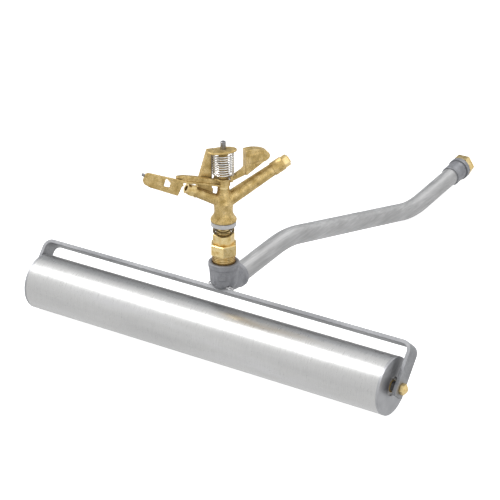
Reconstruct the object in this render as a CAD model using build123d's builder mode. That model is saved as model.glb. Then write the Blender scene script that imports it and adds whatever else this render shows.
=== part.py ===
from build123d import *
import os
from math import cos, degrees, radians, sin, sqrt

os.makedirs("parts", exist_ok=True)

# Two-nozzle impact sprinkler on a roller base with a bent feed pipe.
# Millimetres. X runs along the roller's axle, Y from the roller towards the hose inlet, Z up.
# The origin lies on the ground, straight below the middle of the roller's axle.

# Clearances
turning_gap = 0.05      # radial, between a turning piece and its bearing
seat_gap = 0.02         # radial, between pieces that stay together
face_gap = 0.2          # axial play of the turning pieces
body_gap = 0.4          # between surfaces that pass or face each other

# Roller
roller_radius = 38.05
roller_length = 555.6
roller_wall = 3.0
disc_thickness = 3.5
disc_edge_round = 0.6
core_outer_radius = 15.0
core_inner_radius = 12.5

# Axle and its fasteners
axle_radius = 4.0
bush_length = 24.0
bush_recess = 2.0
nut_across_flats = 13.0
jam_nut_height = 6.5
cap_hex_height = 5.2
cap_dome_height = 2.8
cap_wall = 1.6
washer_outer_radius = 8.0
washer_thickness = 1.6

# Yoke: a flat bar bent to a U, leaning back from the axle
bar_width = 24.0
bar_thickness = 5.0
bar_edge_round = 0.6
yoke_lean = 38.9
yoke_height = 58.3
yoke_reach = 11.5
yoke_bend_radius = 13.5
yoke_play = 13.4        # both ends together, between the roller and the arms' inner faces

# Elbow
elbow_y = 39.3
elbow_body_radius = 15.6
elbow_bend_radius = 19.3
elbow_top_reach = 32.3
elbow_side_reach = 34.6
top_band_radius = 20.6
top_band_height = 8.0
cup_radius = 18.4       # the round heel below the top band
cup_sink = 4.2          # how far the heel dips below the bar's outer face
heel_flat_angle = 68.0  # where the round heel ends in a flat, down from level
side_band_radius = 17.2
side_band_height = 8.0
band_round = 0.9
band_cone_height = 5.0
cone_sink = 0.4
elbow_passage_radius = 10.5
top_thread_depth = 17.0
port_chamfer = 1.6
weld_width = 4.4
weld_rise = 2.4

# Feed pipe: every corner is where two straight runs of the centre line meet
pipe_radius = 13.45
pipe_wall = 2.3
pipe_engagement = 15.0
first_bend_y = 193.6
first_bend_z = 100.3
ground_bend_y = 555.7
ground_bend_z = 10.9
rise_bend_after_elbow = 5.2
rise_bend_radius = 100.0
main_bend_radius = 185.0
end_slope = 5.46
socket_start = 128.0
socket_length = 35.0
socket_radius = 15.6
socket_band_radius = 17.6
socket_band_length = 8.0
socket_round = 1.0
socket_engagement = 15.0

# Inlet bush: hexagon with a male thread in the socket and a female hose thread
inlet_hex_flats = 32.0
inlet_hex_length = 14.0
inlet_male_radius = 13.2
inlet_male_length = 13.0
inlet_bore_radius = 9.3
inlet_bore_depth = 13.5
inlet_passage_radius = 7.5

# Riser bush and bearing nipple
riser_thread_radius = 14.6
riser_thread_show = 11.7
riser_thread_in = 14.0
riser_hex_flats = 32.5
riser_hex_height = 14.3
riser_hex_turn = 10.0
nipple_thread_radius = 11.9
nipple_thread_length = 12.0
nipple_hex_flats = 25.0
nipple_hex_height = 13.2
nipple_hex_turn = 51.0
cavity_depth = 9.0
riser_passage_radius = 9.5
hex_chamfer = 1.0

# Bearing sleeve, seals, friction spring and sand washer
sleeve_radius = 9.0
sleeve_bore_radius = 7.0
sleeve_flange_radius = 11.2
sleeve_flange_height = 2.4
sleeve_thread_in = 11.0
seal_thickness = 1.6
friction_wire_radius = 0.9
friction_radius = 14.2
friction_height = 12.1
friction_turns = 3.0
sand_washer_radius = 16.6
sand_washer_thickness = 5.6

# Sprinkler body, measured up from its lower face
heading = 53.2
base_radius = 17.2
base_rim_height = 3.4
base_rim_round = 1.3
waist_radius = 12.2
waist_height = 14.6
neck_radius = 13.2
nozzle_cross_height = 25.6
nozzle_rise = 28.5
range_root_radius = 9.8
range_tube_radius = 8.1
range_tube_length = 77.0
range_collar_radius = 9.1
range_collar_length = 15.6
range_hex_flats = 14.0
range_hex_length = 8.3
range_nose_radius = 5.4
range_nose_length = 1.2
range_bore_radius = 5.6
range_jet_radius = 2.6
range_shank_length = 12.0
drive_root_radius = 7.6
drive_tube_radius = 6.6
drive_tube_length = 45.5
drive_hex_flats = 13.6
drive_hex_length = 8.0
drive_nose_radius = 6.8
drive_nose_length = 3.5
drive_bore_radius = 4.0
drive_jet_radius = 3.6
drive_shank_length = 10.0
nozzle_hex_chamfer = 0.8
pad_radius = 8.0
pad_height = 46.0
bridge_near = 3.3
bridge_depth = 8.0
bridge_foot_height = 36.0
bridge_tip_room = 1.4   # from the bridge's foot to the drive nozzle's hexagon, along the arm
bridge_top_out = 19.3
bridge_foot_in = 13.0
bridge_top_in = 9.5
spring_room = 1.2
plate_underside = 97.0
plate_thickness = 2.9
plate_half_length = 19.8
plate_half_width = 11.4
plate_shift_along = 2.6
plate_shift_near = 3.0
plate_round = 0.9

# Fulcrum pin and the return spring
pin_radius = 3.6
pin_rise = 10.2
pin_seat_depth = 12.0
pin_slot_width = 1.2
pin_slot_depth = 1.8
spring_radius = 13.1
spring_wire_radius = 0.9
spring_turns = 9.7
spring_seat_height = 3.0
spring_top_room = 1.8
spring_tail_reach = 17.6
spring_hub_radius = 6.0
spring_hub_height = 16.0

# Hammer arm
hub_radius = 8.9
hub_height = 11.5
hub_seat_radius = 12.6
hub_seat_height = 2.2
post_radius = 7.0
arm_bush_wall = 1.4
arm_washer_thickness = 3.6
arm_washer_radius = 7.6
upper_washer_thickness = 1.6
web_near = 4.2
web_far = 2.7
web_bend_out = 38.0     # where the web's edges change their slope, out from the pin
web_bend_foot = 9.2
web_bend_crest = 17.8
web_foot_height = 13.6  # web and lip heights are measured up from the hub's lower face
web_crest_height = 21.2
web_reach = 7.0         # how far the web runs on behind the spoon's edge
lip_near = 8.0
lip_thickness = 2.6
spoon_near = 9.0
spoon_wall = 3.4
spoon_far = 7.0
spoon_room = 6.1        # along the arm, from the drive nozzle's mouth to the spoon's edge
spoon_length = 53.3
spoon_shoulder_height = 16.8
spoon_crest_height = 33.9
spoon_crest_back = 7.5
spoon_end_round = 2.7
spoon_tail_height = 14.1
spoon_tail_back = 8.5
spoon_foot_depth = 2.4
spoon_foot_slant = 8.5
spoon_edge_height = 13.7
scoop_inset = 8.0
scoop_drop = 7.4
scoop_edge_height = 12.0
window_width = 8.2
window_height = 10.6
window_lean = 3.0
window_start = 15.2
window_crest_height = 20.6
deflector_far = 4.0
spoon_pin_radius = 2.1
spoon_pin_length = 12.0
weight_half_thickness = 6.6
weight_inner = 28.8
weight_length = 33.0
weight_foot_height = 12.0
weight_crest_height = 45.9
weight_crown_end = 21.0   # where the crest's level part ends, out from the weight's inner edge
weight_root_height = 14.0  # how high the arm's web meets the weight, up from the weight's foot
weight_heel_height = 29.8
panel_rise = 1.2
panel_margin = 2.6
panel_length = 20.4
panel_height = 11.6
lug_angle = -70.0
lug_inner = 14.5
lug_outer = 18.2
lug_width = 3.2
lug_height = 5.4

# Worked-out places
lean_sin = sin(radians(yoke_lean))
lean_cos = cos(radians(yoke_lean))
yoke_span = roller_length + yoke_play + 2 * bar_thickness
heel_reach = yoke_height + elbow_bend_radius + elbow_body_radius
cup_rise = yoke_height + cup_radius - cup_sink
cup_z = roller_radius + (cup_rise - lean_sin * elbow_y) / lean_cos
elbow_z = roller_radius - elbow_bend_radius + (heel_reach - lean_sin * (elbow_y + elbow_bend_radius)) / lean_cos
ring_z = elbow_z + elbow_top_reach
band_foot_z = ring_z - top_band_height
riser_hex_z = ring_z + riser_thread_show
nipple_hex_z = riser_hex_z + riser_hex_height
friction_z = nipple_hex_z + nipple_hex_height
sand_washer_z = friction_z + friction_height
body_z = sand_washer_z + sand_washer_thickness
cross_z = body_z + nozzle_cross_height
pad_z = body_z + pad_height
hub_z = pad_z + arm_washer_thickness + face_gap
hub_top_z = hub_z + hub_height
plate_z = body_z + plate_underside
spring_hub_z = plate_z - spring_hub_height
post_top_z = spring_hub_z - upper_washer_thickness - 2 * face_gap
spring_foot_z = hub_top_z + spring_seat_height
spring_head_z = plate_z - spring_top_room
lug_gap_angle = (lug_width / 2 + spring_wire_radius + body_gap) / lug_inner
plate_top_z = plate_z + plate_thickness
pin_top_z = plate_top_z + pin_rise
spring_foot_angle = lug_angle - degrees(lug_gap_angle)
spring_head_angle = spring_foot_angle + 360 * spring_turns
rise_sin = sin(radians(nozzle_rise))
rise_cos = cos(radians(nozzle_rise))
drive_reach = drive_tube_length + drive_hex_length + drive_nose_length
spoon_start = drive_reach * rise_cos + spoon_room
bridge_foot_out = drive_tube_length * rise_cos - bridge_tip_room
spoon_end = spoon_start + spoon_length
heading_cos = cos(radians(heading))
heading_sin = sin(radians(heading))

# Planes
axle_plane = Plane(origin=(0, 0, roller_radius), x_dir=(0, 1, 0), z_dir=(1, 0, 0))
yoke_plane = Plane(origin=(0, 0, roller_radius), x_dir=(1, 0, 0), z_dir=(0, -lean_cos, lean_sin))
head = Plane(origin=(0, elbow_y, 0), x_dir=(heading_cos, heading_sin, 0), z_dir=(0, 0, 1))
side = Plane(origin=(0, elbow_y, 0), x_dir=(heading_cos, heading_sin, 0), z_dir=(heading_sin, -heading_cos, 0))
range_plane = Plane(
    origin=(0, elbow_y, cross_z),
    x_dir=(heading_sin, -heading_cos, 0),
    z_dir=(rise_cos * heading_cos, rise_cos * heading_sin, rise_sin),
)
drive_plane = Plane(
    origin=(0, elbow_y, cross_z),
    x_dir=(heading_sin, -heading_cos, 0),
    z_dir=(-rise_cos * heading_cos, -rise_cos * heading_sin, rise_sin),
)


def hexagon(flats):
    """A hexagon sketch, sized across its flats, in the active sketch."""
    RegularPolygon(radius=flats / 2, side_count=6, major_radius=False)


def ring(plane, outer, inner, height):
    """A plain ring on a plane: a washer, a bush or a short tube."""
    with BuildPart() as made:
        with BuildSketch(plane):
            Circle(outer)
            Circle(inner, mode=Mode.SUBTRACT)
        extrude(amount=height)
    return made.part


def finish(part, name):
    """Name a finished piece and write it as one file."""
    part.label = name
    export_step(part, "parts/" + name + ".step")


# Roller tube: the cylinder between the two end discs
with BuildPart() as roller_tube:
    with BuildSketch(axle_plane.offset(-roller_length / 2 + disc_thickness)):
        Circle(roller_radius)
        Circle(roller_radius - roller_wall, mode=Mode.SUBTRACT)
    extrude(amount=roller_length - 2 * disc_thickness)
finish(roller_tube.part, "roller_tube")

# End discs: flat discs welded on the tube, each with a hole for the bush
for disc_name, disc_start in (("left", -roller_length / 2), ("right", roller_length / 2 - disc_thickness)):
    with BuildPart() as roller_disc:
        with BuildSketch(axle_plane.offset(disc_start)):
            Circle(roller_radius)
            Circle(core_inner_radius, mode=Mode.SUBTRACT)
        extrude(amount=disc_thickness)
        outer_x = -roller_length / 2 if disc_name == "left" else roller_length / 2
        fillet(roller_disc.edges().filter_by_position(Axis.X, outer_x - 0.1, outer_x + 0.1), disc_edge_round)
    finish(roller_disc.part, "roller_disc_" + disc_name)

# Core tube: the inner tube from disc to disc that carries the bushes
with BuildPart() as core_tube:
    with BuildSketch(axle_plane.offset(-roller_length / 2 + disc_thickness)):
        Circle(core_outer_radius)
        Circle(core_inner_radius, mode=Mode.SUBTRACT)
    extrude(amount=roller_length - 2 * disc_thickness)
finish(core_tube.part, "core_tube")

# Axle bushes: two white plastic bushes in the ends of the core tube
with BuildPart() as axle_bushes:
    for bush_start in (-roller_length / 2 + bush_recess, roller_length / 2 - bush_recess - bush_length):
        with BuildSketch(axle_plane.offset(bush_start)):
            Circle(core_inner_radius - seat_gap)
            Circle(axle_radius + turning_gap, mode=Mode.SUBTRACT)
        extrude(amount=bush_length)
finish(axle_bushes.part, "axle_bushes")

# Axle: one threaded rod right through the roller, held at both arms
axle_overhang = cap_hex_height + cap_dome_height - cap_wall
axle_length = yoke_span + 2 * axle_overhang
with BuildPart() as axle:
    with BuildSketch(axle_plane.offset(-axle_length / 2)):
        Circle(axle_radius)
    extrude(amount=axle_length)
finish(axle.part, "axle")

# Cap nuts: a hexagon with a low dome outside each arm
with BuildPart() as axle_cap_nuts:
    for sign in (-1, 1):
        nut_plane = Plane(origin=(sign * yoke_span / 2, 0, roller_radius), x_dir=(0, 1, 0), z_dir=(sign, 0, 0))
        with BuildSketch(nut_plane):
            hexagon(nut_across_flats)
        extrude(amount=cap_hex_height)
        with BuildSketch(nut_plane.offset(cap_hex_height)):
            Circle(nut_across_flats / 2)
        with BuildSketch(nut_plane.offset(cap_hex_height + cap_dome_height)):
            Circle(nut_across_flats / 4)
        loft()
        with BuildSketch(nut_plane):
            Circle(axle_radius + seat_gap)
        extrude(amount=axle_overhang + seat_gap, mode=Mode.SUBTRACT)
finish(axle_cap_nuts.part, "axle_cap_nuts")

# Jam nuts: plain nuts against the inner face of each arm
with BuildPart() as axle_jam_nuts:
    for sign in (-1, 1):
        nut_plane = Plane(
            origin=(sign * (yoke_span / 2 - bar_thickness), 0, roller_radius), x_dir=(0, 1, 0), z_dir=(-sign, 0, 0)
        )
        with BuildSketch(nut_plane):
            hexagon(nut_across_flats)
            Circle(axle_radius + seat_gap, mode=Mode.SUBTRACT)
        extrude(amount=jam_nut_height)
finish(axle_jam_nuts.part, "axle_jam_nuts")

# Axle washers: brass washers between each jam nut and its bush
washer_x = yoke_span / 2 - bar_thickness - jam_nut_height
with BuildPart() as axle_washers:
    for washer_start in (-washer_x, washer_x - washer_thickness):
        with BuildSketch(axle_plane.offset(washer_start)):
            Circle(washer_outer_radius)
            Circle(axle_radius + seat_gap, mode=Mode.SUBTRACT)
        extrude(amount=washer_thickness)
finish(axle_washers.part, "axle_washers")

# Yoke: the U of flat bar, drilled at both ends for the axle
with BuildPart() as yoke:
    with BuildSketch(yoke_plane) as yoke_outline:
        with Locations((0, (yoke_height - yoke_reach) / 2)):
            Rectangle(yoke_span, yoke_height + yoke_reach)
        fillet(yoke_outline.vertices().group_by(Axis.Y)[-1], yoke_bend_radius)
        with BuildSketch(mode=Mode.PRIVATE) as yoke_inside:
            with Locations((0, (yoke_height - bar_thickness - yoke_reach) / 2)):
                Rectangle(yoke_span - 2 * bar_thickness, yoke_height - bar_thickness + yoke_reach)
            fillet(yoke_inside.vertices().group_by(Axis.Y)[-1], yoke_bend_radius - bar_thickness)
        add(yoke_inside.sketch, mode=Mode.SUBTRACT)
    extrude(amount=bar_width / 2, both=True)
    bar_sides = yoke.faces().filter_by(yoke_plane)
    fillet(bar_sides.edges(), bar_edge_round)
    with BuildSketch(axle_plane.offset(-yoke_span)):
        Circle(axle_radius + seat_gap)
    extrude(amount=2 * yoke_span, mode=Mode.SUBTRACT)
finish(yoke.part, "yoke")

# Elbow head profile, half of it: the top band, the body below it and its round heel
heel_mid_angle = radians(heel_flat_angle / 2)
heel_flat = cup_radius * cos(radians(heel_flat_angle))
heel_foot_z = cup_z - cup_radius * sin(radians(heel_flat_angle))
with BuildSketch(Plane.YZ) as elbow_profile:
    with BuildLine():
        Polyline(
            (elbow_y + heel_flat, heel_foot_z),
            (elbow_y, heel_foot_z),
            (elbow_y, ring_z),
            (elbow_y + top_band_radius - band_round, ring_z),
            (elbow_y + top_band_radius, ring_z - band_round),
            (elbow_y + top_band_radius, band_foot_z + band_round),
            (elbow_y + top_band_radius - band_round, band_foot_z),
            (elbow_y + cup_radius, cup_z),
        )
        ThreePointArc(
            (elbow_y + cup_radius, cup_z),
            (elbow_y + cup_radius * cos(heel_mid_angle), cup_z - cup_radius * sin(heel_mid_angle)),
            (elbow_y + heel_flat, heel_foot_z),
        )
    make_face()

# Elbow: a malleable reducing elbow with a round head, top port for the riser, side port for the pipe
side_face_y = elbow_y + elbow_side_reach
with BuildPart() as elbow:
    with BuildLine(Plane.YZ) as elbow_path:
        FilletPolyline(
            (elbow_y, ring_z - band_cone_height),
            (elbow_y, elbow_z),
            (side_face_y - band_cone_height, elbow_z),
            radius=elbow_bend_radius,
        )
    with BuildSketch(Plane(origin=elbow_path.line @ 0, z_dir=elbow_path.line % 0)):
        Circle(elbow_body_radius)
    sweep()
    revolve(profiles=elbow_profile.sketch.faces(), axis=Axis((0, elbow_y, 0), (0, 0, 1)))
    with BuildSketch(Plane.YZ):
        with BuildLine():
            side_foot = side_face_y - side_band_height
            Polyline(
                (side_face_y, elbow_z),
                (side_face_y, elbow_z + side_band_radius - band_round),
                (side_face_y - band_round, elbow_z + side_band_radius),
                (side_foot + band_round, elbow_z + side_band_radius),
                (side_foot, elbow_z + side_band_radius - band_round),
                (side_foot - band_cone_height, elbow_z + elbow_body_radius - cone_sink),
                (side_foot - band_cone_height, elbow_z),
                close=True,
            )
        make_face()
    revolve(axis=Axis((0, 0, elbow_z), (0, 1, 0)))
    with BuildSketch(yoke_plane):
        with Locations((0, yoke_height / 2)):
            Rectangle(4 * cup_radius, yoke_height + 2 * seat_gap)
    extrude(amount=bar_width / 2 + body_gap, both=True, mode=Mode.SUBTRACT)
    port_radius = riser_thread_radius + seat_gap
    with BuildSketch(Plane.XY.offset(ring_z)):
        with Locations((0, elbow_y)):
            Circle(port_radius)
    extrude(amount=-top_thread_depth, mode=Mode.SUBTRACT)
    with BuildSketch(Plane.XY.offset(ring_z)):
        with Locations((0, elbow_y)):
            Circle(port_radius + port_chamfer)
    with BuildSketch(Plane.XY.offset(ring_z - port_chamfer)):
        with Locations((0, elbow_y)):
            Circle(port_radius)
    loft(mode=Mode.SUBTRACT)
    with BuildSketch(Plane(origin=(0, side_face_y, elbow_z), z_dir=(0, 1, 0))):
        Circle(pipe_radius + seat_gap)
    extrude(amount=-pipe_engagement, mode=Mode.SUBTRACT)
    with BuildLine(Plane.YZ) as passage_path:
        FilletPolyline(
            (elbow_y, ring_z - top_thread_depth + 1),
            (elbow_y, elbow_z),
            (side_face_y - pipe_engagement + 1, elbow_z),
            radius=elbow_passage_radius + 1,
        )
    with BuildSketch(Plane(origin=passage_path.line @ 0, z_dir=passage_path.line % 0)):
        Circle(elbow_passage_radius)
    sweep(mode=Mode.SUBTRACT)
finish(elbow.part, "elbow")

# Weld: the fillet bead round the elbow's heel on the bar's outer face
heel_shift = elbow_y * lean_cos - (cup_z - roller_radius) * lean_sin
heel_footprint = sqrt(cup_radius**2 - (cup_radius - cup_sink) ** 2)
with BuildPart() as elbow_weld:
    weld_plane = Plane(
        origin=(0, yoke_height * lean_sin, roller_radius + yoke_height * lean_cos),
        x_dir=(1, 0, 0),
        z_dir=(0, lean_sin, lean_cos),
    )
    with BuildSketch(weld_plane):
        with Locations((0, heel_shift)):
            Circle(heel_footprint + weld_width)
        Rectangle(4 * cup_radius, bar_width, mode=Mode.INTERSECT)
    extrude(amount=weld_rise)
    with BuildLine(Plane.YZ) as heel_path:
        FilletPolyline(
            (elbow_y, ring_z - band_cone_height),
            (elbow_y, elbow_z),
            (side_face_y - band_cone_height, elbow_z),
            radius=elbow_bend_radius,
        )
    with BuildSketch(Plane(origin=heel_path.line @ 0, z_dir=heel_path.line % 0)):
        Circle(elbow_body_radius)
    sweep(mode=Mode.SUBTRACT)
    revolve(profiles=elbow_profile.sketch.faces(), axis=Axis((0, elbow_y, 0), (0, 0, 1)), mode=Mode.SUBTRACT)
finish(elbow_weld.part, "elbow_weld")

# Feed pipe: level in the elbow, rising, falling to a bend that rests on the ground, then rising to the inlet
end_cos = cos(radians(end_slope))
end_sin = sin(radians(end_slope))
pipe_start_y = side_face_y - pipe_engagement
rise_bend_y = side_face_y + rise_bend_after_elbow
socket_end = socket_start + socket_length
pipe_end = socket_start + socket_engagement
with BuildPart() as feed_pipe:
    with BuildLine(Plane.YZ) as pipe_path:
        FilletPolyline(
            (pipe_start_y, elbow_z),
            (rise_bend_y, elbow_z),
            (first_bend_y, first_bend_z),
            (ground_bend_y, ground_bend_z),
            (ground_bend_y + pipe_end * end_cos, ground_bend_z + pipe_end * end_sin),
            radius=[rise_bend_radius, main_bend_radius, main_bend_radius],
        )
    with BuildSketch(Plane(origin=pipe_path.line @ 0, z_dir=pipe_path.line % 0)):
        Circle(pipe_radius)
        Circle(pipe_radius - pipe_wall, mode=Mode.SUBTRACT)
    sweep()
finish(feed_pipe.part, "feed_pipe")

# Hose socket: a straight banded socket on the pipe's end
inlet_line = Plane(
    origin=(0, ground_bend_y, ground_bend_z), x_dir=(1, 0, 0), z_dir=(0, end_cos, end_sin)
)
with BuildPart() as hose_socket:
    with BuildSketch(inlet_line.offset(socket_start)):
        Circle(socket_radius)
    extrude(amount=socket_length)
    with BuildSketch(inlet_line.offset(socket_end - socket_band_length)):
        Circle(socket_band_radius)
    extrude(amount=socket_band_length)
    fillet(hose_socket.edges().filter_by(GeomType.CIRCLE).group_by(Axis.Y)[-1], socket_round)
    fillet(hose_socket.edges().filter_by(GeomType.CIRCLE).group_by(Axis.Y)[0], socket_round)
    with BuildSketch(inlet_line.offset(socket_start)):
        Circle(pipe_radius + seat_gap)
    extrude(amount=socket_engagement, mode=Mode.SUBTRACT)
    with BuildSketch(inlet_line.offset(socket_end)):
        Circle(inlet_male_radius + seat_gap)
    extrude(amount=-inlet_male_length, mode=Mode.SUBTRACT)
    with BuildSketch(inlet_line.offset(socket_start)):
        Circle(pipe_radius - pipe_wall)
    extrude(amount=socket_length, mode=Mode.SUBTRACT)
finish(hose_socket.part, "hose_socket")

# Inlet bush: brass, male thread in the socket, female thread for the hose coupling
with BuildPart() as inlet_bush:
    with BuildSketch(inlet_line.offset(socket_end)):
        hexagon(inlet_hex_flats)
    extrude(amount=inlet_hex_length)
    chamfer(inlet_bush.faces().sort_by(Axis.Y)[-1].edges(), hex_chamfer)
    with BuildSketch(inlet_line.offset(socket_end)):
        Circle(inlet_male_radius)
    extrude(amount=-inlet_male_length)
    with BuildSketch(inlet_line.offset(socket_end + inlet_hex_length)):
        Circle(inlet_bore_radius)
    extrude(amount=-inlet_bore_depth, mode=Mode.SUBTRACT)
    with BuildSketch(inlet_line.offset(socket_end - inlet_male_length)):
        Circle(inlet_passage_radius)
    extrude(amount=inlet_male_length + inlet_hex_length, mode=Mode.SUBTRACT)
finish(inlet_bush.part, "inlet_bush")

# Riser bush: brass, male thread in the elbow's ring, hexagon above, cavity for the nipple and the sleeve's flange
with BuildPart() as riser_bush:
    with BuildSketch(head.offset(riser_hex_z).rotated((0, 0, riser_hex_turn))):
        hexagon(riser_hex_flats)
    extrude(amount=riser_hex_height)
    chamfer(riser_bush.faces().sort_by(Axis.Z)[-1].edges(), hex_chamfer)
    with BuildSketch(head.offset(ring_z - riser_thread_in)):
        Circle(riser_thread_radius)
    extrude(amount=riser_thread_in + riser_thread_show)
    with BuildSketch(head.offset(nipple_hex_z)):
        Circle(nipple_thread_radius + seat_gap)
    extrude(amount=-nipple_thread_length, mode=Mode.SUBTRACT)
    with BuildSketch(head.offset(nipple_hex_z - nipple_thread_length)):
        Circle(sleeve_flange_radius + body_gap)
    extrude(amount=-cavity_depth, mode=Mode.SUBTRACT)
    with BuildSketch(head.offset(nipple_hex_z)):
        Circle(riser_passage_radius)
    extrude(amount=-(nipple_hex_z - ring_z + riser_thread_in), mode=Mode.SUBTRACT)
finish(riser_bush.part, "riser_bush")

# Bearing nipple: brass, screwed into the bush; the sleeve turns in its bore
nipple_foot_z = nipple_hex_z - nipple_thread_length
with BuildPart() as bearing_nipple:
    with BuildSketch(head.offset(nipple_hex_z).rotated((0, 0, nipple_hex_turn))):
        hexagon(nipple_hex_flats)
    extrude(amount=nipple_hex_height)
    chamfer(bearing_nipple.faces().sort_by(Axis.Z)[-1].edges(), hex_chamfer)
    with BuildSketch(head.offset(nipple_foot_z)):
        Circle(nipple_thread_radius)
    extrude(amount=nipple_thread_length)
    with BuildSketch(head.offset(nipple_foot_z)):
        Circle(sleeve_radius + turning_gap)
    extrude(amount=nipple_thread_length + nipple_hex_height, mode=Mode.SUBTRACT)
finish(bearing_nipple.part, "bearing_nipple")

# Bearing sleeve: the tube that turns with the body, held below the nipple by its flange
flange_top_z = nipple_foot_z - seal_thickness - 2 * face_gap
sleeve_foot_z = flange_top_z - sleeve_flange_height
sleeve_top_z = body_z + sleeve_thread_in
with BuildPart() as bearing_sleeve:
    with BuildSketch(head.offset(sleeve_foot_z)):
        Circle(sleeve_flange_radius)
    extrude(amount=sleeve_flange_height)
    with BuildSketch(head.offset(sleeve_foot_z)):
        Circle(sleeve_radius)
    extrude(amount=sleeve_top_z - sleeve_foot_z)
    with BuildSketch(head.offset(sleeve_foot_z)):
        Circle(sleeve_bore_radius)
    extrude(amount=sleeve_top_z - sleeve_foot_z, mode=Mode.SUBTRACT)
finish(bearing_sleeve.part, "bearing_sleeve")

# Seal washer: lies on the sleeve's flange, against the nipple's foot
seal_washer = ring(head.offset(flange_top_z), sleeve_flange_radius, sleeve_radius + seat_gap, seal_thickness)
finish(seal_washer, "seal_washer")

# Friction spring: a short wire spring round the sleeve, between the nipple and the sand washer
with BuildPart() as friction_spring:
    friction_rise = friction_height - 2 * friction_wire_radius - face_gap
    with BuildLine() as friction_path:
        Helix(
            pitch=friction_rise / friction_turns,
            height=friction_rise,
            radius=friction_radius - friction_wire_radius,
            center=(0, elbow_y, friction_z + friction_wire_radius + face_gap),
        )
    with BuildSketch(Plane(origin=friction_path.line @ 0, z_dir=friction_path.line % 0)):
        Circle(friction_wire_radius)
    sweep(is_frenet=True)
finish(friction_spring.part, "friction_spring")

# Sand washer: the white plastic washer under the body
sand_washer = ring(head.offset(sand_washer_z), sand_washer_radius, sleeve_radius + seat_gap, sand_washer_thickness)
finish(sand_washer, "sand_washer")

# Sprinkler body: one casting with the base, both nozzle tubes, the pad, the bridge and the top plate
with BuildPart() as sprinkler_body:
    with BuildSketch(side) as body_profile:
        with BuildLine():
            rim_low = (base_radius - base_rim_round, body_z)
            rim_high = (base_radius, body_z + base_rim_height)
            waist = (waist_radius, body_z + waist_height)
            neck = (neck_radius, cross_z)
            Polyline((0, body_z), rim_low, (base_radius, body_z + base_rim_round), rim_high)
            Spline(rim_high, waist, tangents=[(-0.55, 1), (0, 1)])
            Spline(waist, neck, tangents=[(0, 1), (0.25, 1)])
            Polyline(neck, (pad_radius, pad_z - pad_radius / 2), (pad_radius, pad_z), (0, pad_z), (0, body_z))
        make_face()
    revolve(axis=Axis((0, elbow_y, 0), (0, 0, 1)))
    with BuildSketch(range_plane):
        Circle(range_root_radius)
    with BuildSketch(range_plane.offset(range_tube_length)):
        Circle(range_tube_radius)
    loft()
    with BuildSketch(range_plane.offset(range_tube_length)):
        Circle(range_collar_radius)
    extrude(amount=range_collar_length)
    with BuildSketch(drive_plane):
        Circle(drive_root_radius)
    with BuildSketch(drive_plane.offset(drive_tube_length)):
        Circle(drive_tube_radius)
    loft()
    with BuildSketch(side.offset(-bridge_near)):
        with BuildLine():
            Polyline(
                (-bridge_foot_out, body_z + bridge_foot_height),
                (-bridge_top_out, plate_z + plate_thickness / 2),
                (-bridge_top_in, plate_z + plate_thickness / 2),
                (-bridge_foot_in, body_z + bridge_foot_height),
                close=True,
            )
        make_face()
    extrude(amount=-bridge_depth)
    spring_clear = spring_radius + spring_wire_radius + spring_room
    with BuildSketch(head.offset(pad_z)):
        Circle(spring_clear)
    extrude(amount=plate_z - pad_z, mode=Mode.SUBTRACT)
    with BuildSketch(head.offset(plate_z)):
        with Locations((-plate_shift_along, -plate_shift_near)):
            Ellipse(plate_half_length, plate_half_width)
    extrude(amount=plate_thickness)
    fillet(sprinkler_body.edges().group_by(Axis.Z)[-1], plate_round)
    with BuildSketch(head.offset(plate_z)):
        Circle(spring_hub_radius)
    extrude(amount=-spring_hub_height)
    with BuildSketch(head.offset(body_z)):
        Circle(sleeve_radius + seat_gap)
    extrude(amount=sleeve_thread_in, mode=Mode.SUBTRACT)
    with BuildSketch(head.offset(body_z)):
        Circle(sleeve_bore_radius)
    extrude(amount=nozzle_cross_height, mode=Mode.SUBTRACT)
    range_seat = range_tube_length + range_collar_length
    with BuildSketch(range_plane):
        Circle(range_bore_radius)
    extrude(amount=range_seat, mode=Mode.SUBTRACT)
    with BuildSketch(drive_plane):
        Circle(drive_bore_radius)
    extrude(amount=drive_tube_length, mode=Mode.SUBTRACT)
    with BuildSketch(head.offset(pad_z - pin_seat_depth)):
        Circle(pin_radius + seat_gap)
    extrude(amount=plate_top_z - pad_z + pin_seat_depth, mode=Mode.SUBTRACT)
    with BuildSketch(head.offset(plate_z).rotated((0, 0, spring_head_angle))):
        with Locations((spring_radius, 0)):
            Circle(spring_wire_radius + seat_gap)
    extrude(amount=plate_thickness, mode=Mode.SUBTRACT)
finish(sprinkler_body.part, "sprinkler_body")

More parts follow.
